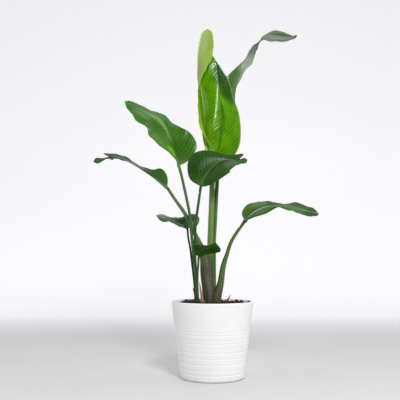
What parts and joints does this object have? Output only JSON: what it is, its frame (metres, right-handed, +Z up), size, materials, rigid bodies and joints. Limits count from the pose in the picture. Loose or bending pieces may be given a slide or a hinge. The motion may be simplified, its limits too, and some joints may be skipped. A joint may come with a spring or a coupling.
{
  "type": "potted bird of paradise",
  "caption": "Bird of paradise plant in a white ribbed round planter, with paddle-shaped leaves on long stalks.",
  "frame": {"origin": "centre of the planter's flat underside, on the surface it stands on", "axes": "+Z up; the arching side leaf reaches towards +X and the front leaves lean towards -Y"},
  "size_m": [0.7332, 0.281, 1.2014],
  "materials": {
    "pot_glaze": "satin",
    "potting_soil": "matt",
    "leaf_bright": "satin",
    "leaf_mid": "satin",
    "leaf_dark": "satin",
    "leaf_bluish": "satin",
    "dry_scale": "matt",
    "red_shoot": "satin",
    "dry_stub": "matt"
  },
  "bodies": {
    "root": {"pot": "pot_glaze", "soil": "potting_soil", "frond_tall_unfurling": "leaf_bright", "frond_tall_twisted": "leaf_mid", "frond_upper_left": "leaf_mid", "frond_lower_left": "leaf_mid", "frond_front_dark": "leaf_dark", "frond_small_left": "leaf_bluish", "frond_right": "leaf_mid", "frond_small_front": "leaf_dark", "dry_scale": "dry_scale", "red_sprout": "red_shoot", "dry_stub": "dry_stub"}
  },
  "joints": []
}
